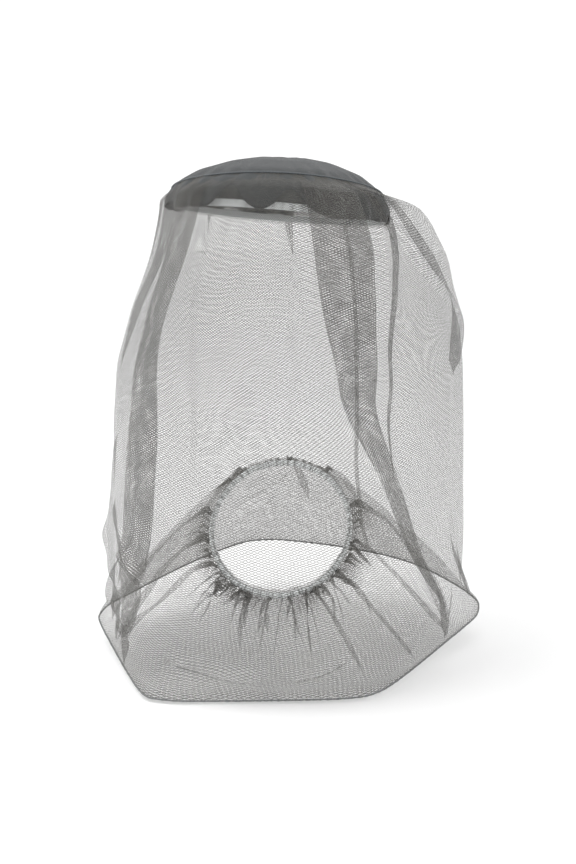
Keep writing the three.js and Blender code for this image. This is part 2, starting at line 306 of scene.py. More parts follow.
def ring_curve(node, edge=None, blur=9):
    """A closed, ring-shaped node as its radius and its height, in even steps round the head.

    edge is "low" or "high" for one edge of a tall ring, and None for the middle of a thin one.
    """
    places = EDGE_PLACES if edge else MIDDLE_PLACES
    points = node_points(node)
    angle = np.arctan2(points[:, 1], points[:, 0])
    nearest = np.round(angle / TURN * places).astype(int) % places
    used = np.unique(nearest)
    groups = [edge_points(points[nearest == place], edge) for place in used]
    radius = [np.hypot(group[:, 0], group[:, 1]).mean() for group in groups]
    height = [group[:, 2].mean() for group in groups]
    at = np.linspace(0, places, CURVE_FINENESS * places, endpoint=False)
    curves = [np.interp(at, used, values, period=places) for values in (radius, height)]
    return [smooth(curve, blur, around=True) for curve in curves]


def edge_points(points, edge):
    """Those of the points that are on the ring's edge, or all of them where no edge is named."""
    if not edge:
        return points
    up = points[:, 2] if edge == "low" else -points[:, 2]
    return points[up < up.min() + EDGE_BAND]


def look_up(curve, angle):
    """The curve's value at any polar angle."""
    at = (np.asarray(angle) / TURN % 1) * len(curve)
    return np.interp(at, np.arange(len(curve)), curve, period=len(curve))


def node_points(node):
    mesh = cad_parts[node].data
    points = np.zeros(len(mesh.vertices) * 3)
    mesh.vertices.foreach_get("co", points)
    return points.reshape(-1, 3)


def node_tree(node):
    faces = [tuple(face.vertices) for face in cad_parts[node].data.polygons]
    return BVHTree.FromPolygons(node_points(node).tolist(), faces)


def outermost(tree, origin, direction, reach=0.3):
    """How far from origin the tree's outer face is, looking back from outside."""
    start = origin + direction * reach
    place, _, _, far = tree.ray_cast(start, -direction, reach)
    return reach - far if place is not None else None


def between_points(grid, x, y):
    """A grid's values, x columns round and y rows down. Its last column is next to its first."""
    i, j = np.floor(x).astype(int), np.minimum(np.floor(y).astype(int), len(grid) - 2)
    across, down = [part.reshape(part.shape + (1,) * (grid.ndim - 2)) for part in (x - i, y - j)]
    left, right = i % grid.shape[1], (i + 1) % grid.shape[1]
    high = grid[j, left] * (1 - across) + grid[j, right] * across
    low = grid[j + 1, left] * (1 - across) + grid[j + 1, right] * across
    return high * (1 - down) + low * down


def measured(node, probe, angle, share, rows=60):
    """What probe(tree, angle, share) measures on a CAD node, smoothed, at every point of a sheet.

    It measures a coarse grid, and fills its gaps from the places above and below.
    """
    tree = node_tree(node)
    places = np.arange(rows)
    shares = MEASURED_MARGIN + (1 - 2 * MEASURED_MARGIN) * places / (rows - 1)
    grid = np.zeros((rows, MEASURED_COLUMNS))
    for i in range(MEASURED_COLUMNS):
        found = [probe(tree, TURN * i / MEASURED_COLUMNS, place) for place in shares]
        known = [j for j in places if found[j] is not None]
        grid[:, i] = np.interp(places, known, [found[j] for j in known])
    grid = smooth(smooth(grid, MEASURED_BLUR, axis=1, around=True), MEASURED_BLUR / 2, axis=0)
    return between_points(grid, angle / TURN * MEASURED_COLUMNS, np.clip(share, 0, 1) * (rows - 1))


def grid_mesh(name, points, u, v, closed=True, tube=False):
    """A surface from a grid of points[row, column]. u and v are metres of cloth at each point.

    A closed one joins its last column to its first, and a tube its last row to its first.
    """
    rows, columns = points.shape[:2]
    across = columns if closed else columns - 1
    down = rows if tube else rows - 1
    column, row = np.meshgrid(np.arange(across), np.arange(down))
    column, row = column.ravel(), row.ravel()
    corners = [(row, column), (row + 1, column), (row + 1, column + 1), (row, column + 1)]
    faces = np.stack([(r % rows) * columns + c % columns for r, c in corners], axis=1)
    mesh = bpy.data.meshes.new(name)
    mesh.vertices.add(rows * columns)
    mesh.vertices.foreach_set("co", points.reshape(-1))
    mesh.loops.add(faces.size)
    mesh.loops.foreach_set("vertex_index", faces.ravel())
    mesh.polygons.add(len(faces))
    mesh.polygons.foreach_set("loop_start", np.arange(0, faces.size, 4))
    mesh.update(calc_edges=True)
    # The cloth has one more column and row than the grid, so that no face spans the whole of it.
    wide = [np.concatenate([grid, 2 * grid[:, -1:] - grid[:, -2:-1]], axis=1) for grid in (u, v)]
    wide = [np.concatenate([grid, 2 * grid[-1:] - grid[-2:-1]], axis=0) for grid in wide]
    uv = np.stack([np.stack([grid[r, c] for grid in wide], axis=-1) for r, c in corners], axis=1)
    mesh.uv_layers.new(name="cloth").data.foreach_set("uv", uv.reshape(-1))
    mesh.polygons.foreach_set("use_smooth", np.ones(len(faces), bool))
    mesh.validate()
    piece = bpy.data.objects.new(name, mesh)
    bpy.context.scene.collection.objects.link(piece)
    return piece


def change_mesh(piece, change):
    """Makes one change to a piece's mesh."""
    work = bmesh.new()
    work.from_mesh(piece.data)
    change(work)
    work.to_mesh(piece.data)
    work.free()


def swept(name, frames, across, tall, sides=12, squareness=2.0, closed=True):
    """A solid cord or band along a line. frames holds its centres, and the out and the up of each.

    across and tall are its half sizes along out and up, one of each or one per centre.
    """
    centres, out, up = frames
    turn = -np.arange(sides)[:, None] / sides * TURN
    flat = 2 / squareness
    x = np.sign(np.cos(turn)) * np.abs(np.cos(turn)) ** flat
    y = np.sign(np.sin(turn)) * np.abs(np.sin(turn)) ** flat
    across, tall = [np.broadcast_to(half, (sides, len(centres))) for half in (across, tall)]
    points = centres + (x * across)[..., None] * out + (y * tall)[..., None] * up
    steps = np.linalg.norm(np.diff(centres, axis=0), axis=1)
    u = np.broadcast_to(np.concatenate([[0], np.cumsum(steps)]), (sides, len(centres)))
    v = np.broadcast_to(-turn / TURN * (across.mean() + tall.mean()) * math.pi, (sides, len(centres)))
    piece = grid_mesh(name, points, u, v, closed, tube=True)
    if not closed:
        change_mesh(piece, lambda work: bmesh.ops.holes_fill(work, edges=work.edges, sides=0))
    return piece


def loop_frames(radius, height, count):
    """count centres round a ring-shaped curve, from the back seam on, each with its out and its up."""
    angle = BACK + columns_from(count) * TURN
    centres = polar(angle, look_up(radius, angle), look_up(height, angle))
    ahead = np.roll(centres, -1, axis=0) - np.roll(centres, 1, axis=0)
    ahead /= np.linalg.norm(ahead, axis=1, keepdims=True)
    out = np.cross(ahead, (0, 0, 1))
    out /= np.linalg.norm(out, axis=1, keepdims=True)
    return centres, out, np.cross(out, ahead)


def ribbed(ring):
    """How much thicker than its half size a cord or roll is at each step."""
    return 1 + ring["proud"] * np.abs(np.sin(TURN * ring["ribs"] * columns_from(ring["steps"])))


def finish_piece(piece, material, body, node):
    """Gives a piece its material and its body, if any, and hides the CAD node that it stands for."""
    piece.data.materials.clear()
    piece.data.materials.append(material)
    if body:
        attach(piece, body)
    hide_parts(node)
    return piece


def with_attribute(piece, values, name="gathered"):
    attribute = piece.data.attributes.new(name, "FLOAT", "POINT")
    attribute.data.foreach_set("value", np.asarray(values, np.float32).ravel())


def thicken(piece, thickness):
    """Gives a sheet its two faces and closes its edges."""
    solidify = piece.modifiers.new("thickness", "SOLIDIFY")
    solidify.thickness = thickness
    solidify.offset = 0
    evaluated = piece.evaluated_get(bpy.context.evaluated_depsgraph_get())
    mesh = bpy.data.meshes.new_from_object(evaluated)
    piece.modifiers.clear()
    piece.data = mesh


def polar(angle, radius, height):
    """Points from their polar angles, distances from the axis and heights."""
    return np.stack([radius * np.cos(angle), radius * np.sin(angle), height], axis=-1)


def down_rows(points):
    """Metres of cloth down to each row, the mean of all columns, at every point."""
    steps = np.linalg.norm(np.diff(points, axis=0), axis=2).mean(axis=1)
    down = np.concatenate([[0], np.cumsum(steps)])
    return np.broadcast_to(down[:, None], points.shape[:2])


def relaxed(points, name, settings):
    """Lets a closed sheet settle under its own weight, and gives its points after that.

    A coarse copy is simulated, and how far its points moved is spread over the finer sheet.
    """
    rows, columns = points.shape[:2]
    step, limit = settings["step"], settings["limit"]
    down = np.unique(np.concatenate([np.arange(0, rows, step), [rows - 1]]))
    coarse = points[down][:, ::step]
    moved = simulated(coarse, name, settings) - coarse
    far = np.linalg.norm(moved, axis=2, keepdims=True) + 1e-9
    moved *= limit * np.tanh(far / limit) / far
    # The broad change of shape is taken out, so the sheet keeps its own outline and gains its wrinkles.
    moved -= smooth(moved, settings["broad"], axis=1, around=True)
    fine_across, fine_down = settings["fine"]
    moved = smooth(smooth(moved, fine_across, axis=1, around=True), fine_down, axis=0)
    x, y = np.arange(columns) / step, np.interp(np.arange(rows), down, np.arange(len(down)))
    return points + between_points(moved, x[None, :], y[:, None])


def simulated(points, name, settings):
    """The points of a closed sheet after it has settled, held along its first and last rows."""
    unmapped = np.zeros(points.shape[:2])
    cloth = grid_mesh(name, points, unmapped, unmapped)
    rows, columns = points.shape[:2]
    pins = cloth.vertex_groups.new(name="pins")
    for row in (0, rows - 1):
        pins.add(list(range(row * columns, (row + 1) * columns)), 1.0, "REPLACE")
    modifier = cloth.modifiers.new("cloth", "CLOTH")
    for key, value in NET_CLOTH.items():
        setattr(modifier.settings, key, value)
    modifier.settings.shrink_min = -settings["slack"]
    modifier.settings.vertex_group_mass = "pins"
    for frame_number in range(1, settings["frames"] + 1):
        bpy.context.scene.frame_set(frame_number)
    settled = cloth.evaluated_get(bpy.context.evaluated_depsgraph_get()).data
    after = np.zeros(points.size)
    settled.vertices.foreach_get("co", after)
    bpy.data.objects.remove(cloth)
    bpy.context.scene.frame_set(1)
    return after.reshape(points.shape)


# ---- materials ----


class Nodes:
    """A material's node tree, with short names for the nodes that cloth needs."""

    def __init__(self, name):
        self.material = bpy.data.materials.new(name)
        self.material.use_nodes = True
        self.tree = self.material.node_tree
        self.shader = self.tree.nodes["Principled BSDF"]

    def add(self, kind, inputs=(), **settings):
        node = self.tree.nodes.new(kind)
        for key, value in settings.items():
            setattr(node, key, value)
        for key, value in dict(inputs).items():
            self.set(node.inputs[key], value)
        return node

    def set(self, socket, value):
        if isinstance(value, bpy.types.NodeSocket):
            self.tree.links.new(value, socket)
        else:
            socket.default_value = value

    def math(self, operation, a, b=0.0, c=0.0):
        return self.add("ShaderNodeMath", {0: a, 1: b, 2: c}, operation=operation).outputs[0]

    def vector(self, operation, a, b):
        return self.add("ShaderNodeVectorMath", {0: a, 1: b}, operation=operation).outputs[0]

    def cloth(self):
        """Where a point is on its cloth, in metres."""
        return self.add("ShaderNodeUVMap", uv_map="cloth").outputs[0]

    def parts(self, vector):
        return self.add("ShaderNodeSeparateXYZ", {0: vector}).outputs

    def noise(self, scale, detail=3.0):
        where = self.add("ShaderNodeTexCoord").outputs["Object"]
        inputs = {"Vector": where, "Scale": scale, "Detail": detail}
        return self.add("ShaderNodeTexNoise", inputs).outputs[0]

    def ramp(self, factor, low, high, start=0.3, end=0.7):
        node = self.add("ShaderNodeValToRGB", {0: factor})
        node.color_ramp.elements[0].position = start
        node.color_ramp.elements[0].color = (*low, 1)
        node.color_ramp.elements[1].position = end
        node.color_ramp.elements[1].color = (*high, 1)
        return node.outputs[0]

    def attribute(self, name):
        return self.add("ShaderNodeAttribute", attribute_name=name).outputs["Fac"]

    def bump(self, height, strength, distance):
        inputs = {"Height": height, "Strength": strength, "Distance": distance}
        self.set(self.shader.inputs["Normal"], self.add("ShaderNodeBump", inputs).outputs[0])

    def finish(self, roughness, sheen=0.0, specular=0.3):
        self.shader.inputs["Roughness"].default_value = roughness
        self.shader.inputs["Sheen Weight"].default_value = sheen
        self.shader.inputs["Specular IOR Level"].default_value = specular
        return self.material


def thread_distance(nodes):
    """How far a point of the cloth is from the nearest thread, in pitches, with rounded holes.

    Squares on end are squashed into diamonds, so that one turn of the cloth sets both sets of threads.
    """
    cloth = nodes.cloth()
    uneven = nodes.add("ShaderNodeTexNoise", {"Vector": cloth, "Scale": STRAY_SCALE, "Detail": 2.0})
    away = nodes.vector("MULTIPLY", uneven.outputs[1], (THREAD_STRAY,) * 3)
    strayed = nodes.vector("ADD", cloth, away)
    across_pitch = math.sqrt(2) * math.sin(THREAD_SLANT) / MESH_PITCH
    down_pitch = math.sqrt(2) * math.cos(THREAD_SLANT) / MESH_PITCH
    inputs = {"Vector": strayed, "Scale": (across_pitch, down_pitch, 1), "Rotation": (0, 0, math.pi / 4)}
    apart = nodes.parts(nodes.add("ShaderNodeMapping", inputs).outputs[0])
    across = nodes.math("PINGPONG", apart[0], 0.5)
    along = nodes.math("PINGPONG", apart[1], 0.5)
    return nodes.math("SMOOTH_MIN", across, along, HOLE_ROUNDNESS)


def net_material(name, low, high, thread_share=THREAD_SHARE):
    """Sheer net. Its threads are drawn by alpha, and thicken where the cloth is gathered."""
    nodes = Nodes(name)
    distance = thread_distance(nodes)
    noise = nodes.noise(scale=900, detail=2)
    uneven = nodes.math("MULTIPLY_ADD", noise, THREAD_UNEVENNESS, -THREAD_UNEVENNESS / 2)
    gathered = nodes.math("MULTIPLY", nodes.attribute("gathered"), GATHERED_THREADS)
    half = nodes.math("ADD", nodes.math("ADD", uneven, gathered), thread_share / 2)
    edge = nodes.math("DIVIDE", nodes.math("SUBTRACT", half, distance), THREAD_SOFTNESS)
    alpha = nodes.math("ADD", edge, 0.5)
    alpha.node.use_clamp = True
    nodes.set(nodes.shader.inputs["Alpha"], alpha)
    nodes.set(nodes.shader.inputs["Base Color"], nodes.ramp(nodes.noise(scale=25), low, high))
    nodes.bump(nodes.math("MULTIPLY", distance, -1), strength=0.4, distance=0.2 * MM)
    return nodes.finish(roughness=0.75, sheen=0.15)


def woven_material(name, low, high, pitch):
    """Close-woven opaque cloth: two sets of threads, slightly uneven in colour."""
    nodes = Nodes(name)
    apart = nodes.parts(nodes.cloth())
    warp = nodes.math("SINE", nodes.math("MULTIPLY", apart[0], TURN / pitch))
    weft = nodes.math("SINE", nodes.math("MULTIPLY", apart[1], TURN / pitch))
    weave = nodes.math("MULTIPLY", warp, weft)
    mottled = nodes.math("MULTIPLY_ADD", weave, 0.15, nodes.noise(scale=320, detail=4))
    nodes.set(nodes.shader.inputs["Base Color"], nodes.ramp(mottled, low, high))
    nodes.bump(weave, strength=0.5, distance=0.15 * MM)
    return nodes.finish(roughness=0.85, sheen=0.2)


def thread_material(name, low, high, stitches):
    """Overlocked thread: slanting stitches along a seam, so many to the metre."""
    nodes = Nodes(name)
    apart = nodes.parts(nodes.cloth())
    slant = nodes.math("MULTIPLY_ADD", apart[1], 0.6, apart[0])
    stitch = nodes.math("PINGPONG", nodes.math("MULTIPLY", slant, stitches), 0.5)
    nodes.set(nodes.shader.inputs["Base Color"], nodes.ramp(stitch, low, high, start=0.05, end=0.4))
    nodes.bump(stitch, strength=0.8, distance=0.3 * MM)
    return nodes.finish(roughness=0.7, sheen=0.1)


# Three greys of a linear brightness: a nearly neutral one, the cap's and the net's.


def grey(level):
    return (level * 0.97, level, level)


def cool_grey(level):
    return (level * 0.9, level, level * 1.06)


def warm_grey(level):
    return (level * 1.03, level, level * 0.93)


# ---- the curves that the cloth follows ----


def dome_beside_seam(places=360):
    """The cap's own radius at the seam's height, which the net is gathered down on to."""
    tree = node_tree("crown_cap")
    radius = []
    for angle in np.arange(places) / places * TURN:
        middle = Vector((0, 0, look_up(seam_height, angle)))
        radius.append(outermost(tree, middle, outwards(angle)))
    return smooth(radius, 4, around=True)


seam_height = ring_curve("crown_seam")[1]
dome_radius = dome_beside_seam()
edge_radius, edge_height = ring_curve("edge_seam", blur=6)
neck_radius, neck_height = ring_curve("neck_elastic")
elastic_radius, elastic_height = ring_curve("crown_elastic")
hem_radius, hem_height = ring_curve("crown_cap", edge="low")


# ---- the outer net ----


def fold_at(fold, shares):
    """A fold's middle and overlap, in degrees, at each row."""
    at, middle, overlap = np.array(fold["path"], float).T
    blur = len(shares) * FOLD_BLUR
    middle, overlap = [smooth(np.interp(shares, at, values), blur) for values in (middle, overlap)]
    wander = ripple(0.5 * shares, 3, 11, seed=int(fold["path"][0][1] % 360))
    return middle + FOLD_WANDER * wander * np.sin(math.pi * shares), overlap


def to_and_fro(place, openness):
    """A place across a fold, -1 to 1, moved so that it doubles back once openness is over 0."""
    return (1 + openness) * place ** 3 - openness * place


def fold_profile(openness, steps=160):
    """A fold's offset sideways, -1 to 1, and outwards, at even steps of its cloth."""
    place = np.linspace(-1, 1, steps)
    # The cloth's length is what it moves sideways, and a little more for its depth.
    length = np.concatenate([[0], np.cumsum(np.abs(np.diff(to_and_fro(place, openness))) + 0.004)])
    even = np.interp(np.linspace(0, length[-1], steps), length, place)
    return to_and_fro(even, openness), -np.sin(math.pi * even)


def cloth_marks(folds, reach, row):
    """How the cloth's own width is shared out between the folds, by what each stretch needs at a row."""
    start, stop = SEAM_TO_SEAM
    widths = []
    for (_, middle, overlap), spread in zip(folds, reach):
        widths.append(middle[row] - spread[row] - start)
        widths.append(2 * spread[row] + 2 * max(overlap[row], LEAST_OVERLAP))
        start = middle[row] + spread[row]
    widths.append(stop - start)
    return np.concatenate([[0], np.cumsum(widths)]) / np.sum(widths)


def net_angles(shares, turns):
    """The polar angle of every point of the net, and how far its folds lift it."""
    folds = [(fold, *fold_at(fold, shares)) for fold in FOLDS]
    reach = [FOLD_SPREAD * np.maximum(overlap, LEAST_OVERLAP) for _, _, overlap in folds]
    marks = cloth_marks(folds, reach, int(CHEEK * len(shares)))
    angle = np.zeros((len(shares), len(turns)))
    lift = np.zeros_like(angle)
    for j in range(len(shares)):
        stops = [SEAM_TO_SEAM[0]]
        for (_, middle, _), spread in zip(folds, reach):
            stops += [middle[j] - spread[j], middle[j] + spread[j]]
        stops = np.maximum.accumulate(stops + [SEAM_TO_SEAM[1]])
        angle[j] = np.interp(turns, marks, stops)
        for k, ((fold, middle, overlap), spread) in enumerate(zip(folds, reach)):
            first, last = marks[2 * k + 1], marks[2 * k + 2]
            inside = (turns > first) & (turns < last)
            across = (turns[inside] - first) / (last - first)
            strength = min(1, max(0, overlap[j] / LEAST_OVERLAP))
            sideways, outward = fold_profile(-1 + 3 * strength)
            steps = np.linspace(0, 1, len(sideways))
            angle[j, inside] = middle[j] + spread[j] * np.interp(across, steps, sideways)
            lift[j, inside] = fold["depth"] * MM * strength * np.interp(across, steps, outward)
    return np.radians(angle), lift


def net_probe(tree, angle, share):
    """How far the CAD net's outer face is from the axis."""
    high = look_up(seam_height, angle) - NET_PROBE_TOP
    low = look_up(edge_height, angle) + NET_PROBE_BOTTOM
    return outermost(tree, Vector((0, 0, high + (low - high) * share)), outwards(angle))


def net_creases(angle, share):
    """How far the diagonal creases push the net out, and the angle and share that they gather in.

    The cloth beside a crease is drawn across it, so that it lies double there.
    """
    push, turned, slid = 0 * angle, 0 * angle, 0 * angle
    for (angle_a, share_a), (angle_b, share_b), depth, width in NET_CREASES:
        x = turned_from(angle, math.radians(angle_a)) * NET_REACH
        y = (share - share_a) * NET_TALL
        run_x = math.radians(angle_b - angle_a) * NET_REACH
        run_y = (share_b - share_a) * NET_TALL
        length = math.hypot(run_x, run_y)
        along = (x * run_x + y * run_y) / length ** 2
        aside = (x * run_y - y * run_x) / length + CREASE_BOW * np.sin(math.pi * along)
        bump = np.exp(-(aside / (width * MM)) ** 2) * between(along, *CREASE_ENDS)
        bump *= fade(share, *CREASES_STOP)
        push += depth * MM * bump
        turned = turned - NET_CREASE_OVERLAP * aside * bump * run_y / length / NET_REACH
        slid = slid + NET_CREASE_OVERLAP * aside * bump * run_x / length / NET_TALL
    return push, turned, slid


def net_radius(angle, share):
    """How far the net is from the axis: inside the CAD net's face, and drawn in to both its seams."""
    radius = measured("veil_net", net_probe, angle, share) - NET_INSET * np.sin(math.pi * share)
    seam = look_up(dome_radius, angle) - SEAM_INSET
    edge = look_up(edge_radius, angle)
    radius = seam + (radius - seam) * (1 - fade(share, *NET_LEAVES_SEAM))
    return edge + (radius - edge) * fade(share, *NET_MEETS_EDGE)


def net_waves(turns, share):
    """How far the net's waves stand out: fine gathers that run into flutes, slack and crumples."""
    slack = wave(NET_SLACK, turns, share) * np.sin(math.pi * share) ** 1.5
    return sum(wave(kind, turns, share) for kind in (NET_GATHERS, NET_FLUTES, NET_CRUMPLES)) + slack


def outer_net():
    """The net. It gives its points from before it has its thickness."""
    shares = np.linspace(0, 1, NET_ROWS)
    turns, share, _ = sheet_grid(NET_COLUMNS, shares)
    angle, lift = net_angles(shares, turns[0])
    push, turned, slid = net_creases(angle, share)
    angle, share = angle + turned, share + slid
    radius = net_radius(angle, share) + net_waves(turns, share) + push
    radius += lift * (FOLD_ENDS + (1 - FOLD_ENDS) * between(share, FOLDS_OPEN, FOLDS_CLOSE))
    top = look_up(seam_height, angle) + NET_ABOVE_SEAM
    bottom = look_up(edge_height, angle)
    points = relaxed(polar(angle, radius, top + (bottom - top) * share), "net_copy", NET_SIMULATION)
    piece = grid_mesh("outer_net", points, turns * CLOTH_WIDTH, down_rows(points))
    gathered = GATHERED_AT_SEAM * fade(share, *GATHERS_FADE)
    gathered += GATHERED_AT_EDGE * (1 - fade(share, *GATHERS_RETURN))
    with_attribute(piece, gathered)
    thicken(piece, NET_THICKNESS)
    finish_piece(piece, net_material("net", warm_grey(0.09), warm_grey(0.14)), "veil", "veil_net")
    return points


# ---- the under-skirt and the neck band ----


def skirt_probe(tree, angle, share):
    """The height of the CAD under-skirt's upper face."""
    edge, neck = look_up(edge_radius, angle), look_up(neck_radius, angle)
    place = tree.ray_cast(outwards(angle, edge + (neck - edge) * share), Vector((0, 0, -1)))[0]
    return place.z if place is not None else None


def thin_creases():
    """The creases that run on from the neck band's pleats."""
    draw = np.random.default_rng(37)
    creases = []
    for _ in range(SKIRT_CREASES["number"]):
        middle = draw.normal(SKIRT_CREASES["middle"], SKIRT_CREASES["spread"])
        bend = draw.uniform(-1, 1) * SKIRT_CREASES["bend"]
        length = draw.uniform(*SKIRT_CREASES["length"])
        creases.append((middle, bend, length, draw.uniform(*SKIRT_CREASES["width"])))
    return creases


def skirt_pleats(turns, from_neck):
    """How strongly the cloth is pleated, and where in its pleats each point is."""
    crowd = 0.65 + 0.5 * ripple(turns, 3, 11, seed=31)
    reach = SKIRT_PLEATS["reach"] * (1 + 0.5 * ripple(turns, 5, 17, seed=32))
    phase = TURN * SKIRT_PLEATS["count"] * turns + SKIRT_PLEATS["wander"] * ripple(turns, 6, 19, seed=33)
    return crowd * fade(from_neck, SKIRT_PLEATS["least"], reach), phase


def skirt_creases(angle, from_neck, share):
    """The cloth's new angle when it is drawn in across its creases, and how far they lift it."""
    lift = 0 * angle
    for middle, bend, length, width in thin_creases() + SKIRT_FOLDS:
        away = turned_from(angle, np.radians(middle + bend * from_neck / BEND_LENGTH))
        bump = np.exp(-(away / math.radians(width)) ** 2)
        bump *= fade(from_neck, 0.6 * length * MM, length * MM) * (1 - fade(share, *SKIRT_FLAT_EDGE))
        angle = angle - CREASE_OVERLAP * away * bump
        lift = lift + (1.0 + 0.35 * width) * MM * bump
    return angle, lift


def under_skirt():
    turns, share, angle = sheet_grid(SKIRT_COLUMNS, np.linspace(0, 1, SKIRT_ROWS) ** SKIRT_CROWDING)
    from_neck = (1 - share) * (look_up(edge_radius, angle) - look_up(neck_radius, angle))
    pleat, phase = skirt_pleats(turns, from_neck)
    angle = angle - pleat * SKIRT_PLEATS["swing"] / SKIRT_PLEATS["count"] * np.sin(phase)
    angle, creased = skirt_creases(angle, from_neck, share)
    lift = SKIRT_PLEATS["height"] * pleat * np.cos(phase) + creased
    lift += wave(SKIRT_SWELLS, turns, share) * np.sin(math.pi * share) ** 1.2
    lift *= (1 - fade(from_neck, *LIFT_FROM_NECK)) * (1 - fade(share, *LIFT_FROM_EDGE))
    edge, neck = look_up(edge_radius, angle), look_up(neck_radius, angle)
    radius = edge - share * (edge - neck) + SKIRT_END_OUT * share ** 3
    end_height = look_up(neck_height, angle) - SKIRT_END_DROP
    straight = look_up(edge_height, angle) * (1 - share) + end_height * share
    draped = measured("skirt_net", skirt_probe, angle, share)
    height = straight + (draped - straight) * between(share, *SKIRT_DRAPED) + lift
    points = polar(angle, radius, height)
    piece = grid_mesh("under_skirt", points, turns * CLOTH_WIDTH, down_rows(points))
    with_attribute(piece, np.clip(1.1 * pleat, 0, 1))
    thicken(piece, NET_THICKNESS)
    skirt = net_material("skirt_net", warm_grey(0.12), warm_grey(0.18), SKIRT_THREAD_SHARE)
    finish_piece(piece, skirt, None, "skirt_net")
    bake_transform(piece)
    return piece


def neck_casing():
    count, sides = CASING["steps"], CASING["sides"]
    frames = loop_frames(neck_radius, neck_height, count)
    turns = columns_from(count)
    ruche = 0.55 * ripple(turns, 90, 170, seed=41) + 0.45 * ripple(turns, 40, 80, seed=42)
    size = CASING["half"] * (1 + CASING["proud"] * ruche)
    piece = swept("neck_casing_ruched", frames, size, size * CASING["tall"], sides)
    # The ruche is kept for the material, which paints a highlight on its tops and shade between them.
    with_attribute(piece, np.broadcast_to(ruche, (sides, count)), "ruche")
    return finish_piece(piece, ruched_painted_light_material(), "neck_band", "neck_casing")


def neck_cord():
    frames = loop_frames(neck_radius, neck_height, NECK_CORD["steps"])
    size = NECK_CORD["half"] * ribbed(NECK_CORD)
    piece = swept("neck_cord", frames, size, size, sides=10)
    cord = thread_material("elastic", grey(0.35), grey(0.5), stitches=700)
    finish_piece(piece, cord, "neck_band", "neck_elastic")


def neck_ruffle():
    """The casing's raw edge: a short frill in small waves above it."""
    centres, out, up = loop_frames(neck_radius, neck_height, FRILL["steps"])
    turns, share, _ = sheet_grid(FRILL["steps"], np.linspace(0, 1, FRILL["rows"]))
    even = np.sin(TURN * FRILL["count"] * turns + 2 * ripple(turns, 5, 14, seed=51))
    waves = 0.6 * even + 0.6 * ripple(turns, 30, 55, seed=52)
    lean = FRILL["out"] + (1.1 * waves * share - 0.6 * share) * MM
    rise = FRILL["above"] + FRILL["tall"] * (1 + 0.25 * ripple(turns, 12, 30, seed=53)) * share
    points = centres + out * lean[..., None] + up * rise[..., None]
    wide, tall = FRILL["cloth"]
    piece = grid_mesh("neck_ruffle", points, turns * wide, tall * share)
    with_attribute(piece, np.full(share.shape, 0.1))
    thicken(piece, NET_THICKNESS)
    frill = net_material("neck_frill", warm_grey(0.13), warm_grey(0.2))
    return finish_piece(piece, frill, "neck_band", "neck_frill")


def ruched_painted_light_material():
    """Net gathered over a cord, with painted light: a painted highlight where it stands proud, and painted
    shade between the ruches.
    """
    nodes = Nodes("neck_casing")
    # Painted light: the ruche's height, with noise, paints a highlight on the proud ruches and shade in the
    # hollows between them.
    proud = nodes.math("MULTIPLY_ADD", nodes.attribute("ruche"), 0.5, nodes.noise(scale=1200))
    nodes.set(nodes.shader.inputs["Base Color"], nodes.ramp(proud, grey(0.28), grey(0.85), 0.2, 0.65))
    nodes.bump(proud, strength=0.6, distance=0.4 * MM)
    return nodes.finish(roughness=0.6, sheen=0.3)


# ---- the crown ----


def cap_hem(angle):
    """How far down the cap's opaque hem is, as an angle from straight up at its heart."""
    away = [np.degrees(turned_from(angle, math.radians(middle))) / half for middle, half, _ in HEM_ARCHES]
    rise = sum(tall * MM * np.exp(-turned ** 2) for turned, (_, _, tall) in zip(away, HEM_ARCHES))
    scallops = wave(CAP_SCALLOPS, (angle / TURN) % 1, 0)
    height = look_up(hem_height, angle) - HEM_DROP + rise + scallops
    return np.arctan2(look_up(hem_radius, angle), height - CAP_HEART)


def cap_probe(tree, angle, share):
    """How far the CAD cap's outer face is from the cap's heart."""
    tilt = share * CAP_TILT
    direction = outwards(angle, math.sin(tilt)) + Vector((0, 0, math.cos(tilt)))
    return outermost(tree, Vector((0, 0, CAP_HEART)), direction, 0.2)


def crown_shell():
    turns, share, angle = sheet_grid(CAP_COLUMNS, np.linspace(0, 1, CAP_ROWS))
    tilt = share ** CAP_CROWDING * cap_hem(angle)
    reach = measured("crown_cap", cap_probe, angle, tilt / CAP_TILT, rows=80) - CAP_INSET
    reach += wave(CAP_GATHERS, turns, share)
    reach += wave(CAP_CREASES, turns, share) * np.sin(math.pi * share)
    reach += wave(CAP_SAG, turns, share) * share * (1 - 0.5 * share)
    points = polar(angle, reach * np.sin(tilt), CAP_HEART + reach * np.cos(tilt))
    piece = grid_mesh("crown_shell", points, points[..., 0], points[..., 1])
    # The columns meet at the top of the cap.
    change_mesh(piece, lambda work: bmesh.ops.remove_doubles(work, verts=work.verts, dist=0.01 * MM))
    thicken(piece, CAP_THICKNESS)
    cloth = woven_material("crown_cloth", cool_grey(0.03), cool_grey(0.046), pitch=0.7 * MM)
    finish_piece(piece, cloth, "veil", "crown_cap")


def hem_tape():
    turns, share, angle = sheet_grid(TAPE_COLUMNS, np.linspace(0, 1, TAPE_ROWS))
    edges = zip(ring_curve("crown_hem_tape", edge="high"), ring_curve("crown_hem_tape", edge="low"))
    radius, height = [look_up(top, angle) * (1 - share) + look_up(low, angle) * share for top, low in edges]
    radius += wave(TAPE_GATHERS, turns, share) * (0.4 + share)
    points = polar(angle, radius, height)
    piece = grid_mesh("hem_tape", points, turns * TAPE_FLAT[0], down_rows(points))
    with_attribute(piece, np.full(share.shape, 0.05))
    thicken(piece, NET_THICKNESS)
    tape = net_material("hem_tape", warm_grey(0.2), warm_grey(0.3), SKIRT_THREAD_SHARE)
    finish_piece(piece, tape, "veil", "crown_hem_tape")


